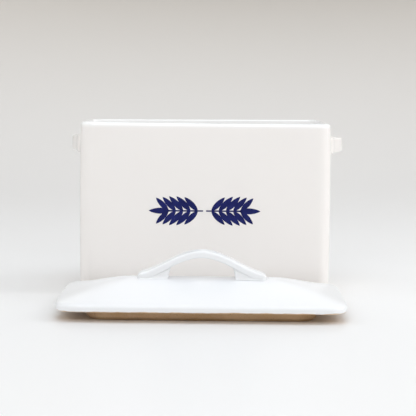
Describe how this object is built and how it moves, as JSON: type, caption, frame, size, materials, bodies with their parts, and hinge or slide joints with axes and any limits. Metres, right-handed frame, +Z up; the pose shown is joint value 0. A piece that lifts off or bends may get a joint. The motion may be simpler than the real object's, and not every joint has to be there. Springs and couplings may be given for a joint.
{
  "type": "bread bin",
  "caption": "Rectangular glazed ceramic bread crock with bow handles and a separate hipped lid with a locating flange, lid lying beside it.",
  "frame": {"origin": "centre of the crock's base, on the face that it stands on", "axes": "+Z up out of the crock's mouth; +X to the right along the crock's length, seen from the front; +Y towards the back, so the printed front wall faces -Y and the lid lies on the -Y side"},
  "size_m": [0.3792, 0.4242, 0.233],
  "materials": {
    "white_glaze": "glossy warm white glaze",
    "lid_glaze": "glossy white glaze",
    "bare_clay": "matt unglazed buff clay",
    "navy_print": "glossy navy print"
  },
  "bodies": {
    "crock": {"crock_body": "white_glaze", "base_slab": "bare_clay", "crock_handle_left": "white_glaze", "crock_handle_right": "white_glaze", "wheat_ear_left": "navy_print", "wheat_ear_right": "navy_print"},
    "lid": {"lid_plate": "lid_glaze", "lid_flange": "bare_clay", "lid_handle": "lid_glaze"}
  },
  "joints": [
    {"name": "lid_lift", "type": "slide", "parent": "crock", "child": "lid", "axis": [0, 0, 1], "range_m": [0, 0.26]}
  ]
}
